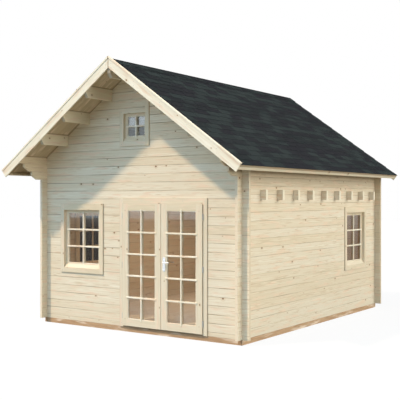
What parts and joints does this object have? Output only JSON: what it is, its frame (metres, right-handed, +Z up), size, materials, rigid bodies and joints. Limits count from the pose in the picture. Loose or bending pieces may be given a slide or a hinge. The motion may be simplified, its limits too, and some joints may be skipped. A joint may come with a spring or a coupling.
{
  "type": "log garden shed",
  "caption": "Gabled garden shed of interlocked spruce logs with a loft, a shingled purlin roof on stepped corbels, casement windows and a glazed double door with a lever handle.",
  "frame": {"origin": "on the ground, in the middle of the footprint of the walls, under the middle floor bearer", "axes": "+Z up, +Y from the door front to the back wall, +X to the right as seen from in front of the door"},
  "size_m": [4.7564, 5.874, 4.3016],
  "materials": {
    "base_timber": "brown impregnated timber, sawn",
    "floor_timber": "planed spruce boards, bare",
    "log_spruce": "planed spruce logs with knots, untreated",
    "beam_spruce": "planed spruce beams, untreated",
    "roof_timber": "spruce roof boards, untreated",
    "shingle": "mineral-faced bitumen shingles, matte",
    "trim_spruce": "planed spruce boards, pale and smooth",
    "frame_spruce": "planed spruce casing and lining",
    "joinery": "smooth joinery timber, untreated",
    "glazing": "clear double glazing",
    "hinge_metal": "zinc-plated steel",
    "handle_metal": "satin silver"
  },
  "bodies": {
    "house": {"foundation_side_beams": "base_timber", "foundation_end_beams": "base_timber", "floor_bearers": "base_timber", "floor_boards": "floor_timber", "loft_boards": "floor_timber", "front_wall_left": "log_spruce", "front_wall_right": "log_spruce", "front_gable": "log_spruce", "back_wall": "log_spruce", "left_wall": "log_spruce", "right_wall": "log_spruce", "left_wall_plates": "log_spruce", "right_wall_plates": "log_spruce", "ridge_purlin": "beam_spruce", "left_purlins": "beam_spruce", "right_purlins": "beam_spruce", "loft_beams": "beam_spruce", "left_roof_boards": "roof_timber", "right_roof_boards": "roof_timber", "left_shingles": "shingle", "right_shingles": "shingle", "ridge_capping": "shingle", "front_bargeboards": "trim_spruce", "back_bargeboards": "trim_spruce", "front_cap_strips": "trim_spruce", "eave_boards": "trim_spruce", "front_window_frame": "frame_spruce", "right_window_frame": "frame_spruce", "left_window_frame": "frame_spruce", "gable_window_frame": "frame_spruce", "door_frame": "frame_spruce", "front_window_sash": "joinery", "right_window_sash": "joinery", "left_window_sash": "joinery", "gable_window_sash": "joinery", "front_window_glass": "glazing", "right_window_glass": "glazing", "left_window_glass": "glazing", "gable_window_glass": "glazing", "door_frame_hinges": "hinge_metal"},
    "left_door": {"left_leaf": "joinery", "left_leaf_glass": "glazing", "left_leaf_hinges": "hinge_metal"},
    "right_door": {"right_leaf": "joinery", "right_leaf_glass": "glazing", "right_leaf_hinges": "hinge_metal", "handle_plates": "handle_metal"},
    "door_handle": {"lever_handle": "handle_metal"}
  },
  "joints": [
    {"name": "left_door_hinge", "type": "hinge", "parent": "house", "child": "left_door", "pos_m": [-0.233, -2.526, 1.069], "axis": [0, 0, -1], "range_deg": [0, 120]},
    {"name": "right_door_hinge", "type": "hinge", "parent": "house", "child": "right_door", "pos_m": [1.333, -2.526, 1.069], "axis": [0, 0, 1], "range_deg": [0, 120]},
    {"name": "lever_turn", "type": "hinge", "parent": "right_door", "child": "door_handle", "pos_m": [0.615, -2.538, 1.145], "axis": [0, 1, 0], "range_deg": [0, 40], "stiffness_Nm_per_rad": 1.5, "springref_deg": -34.38}
  ]
}
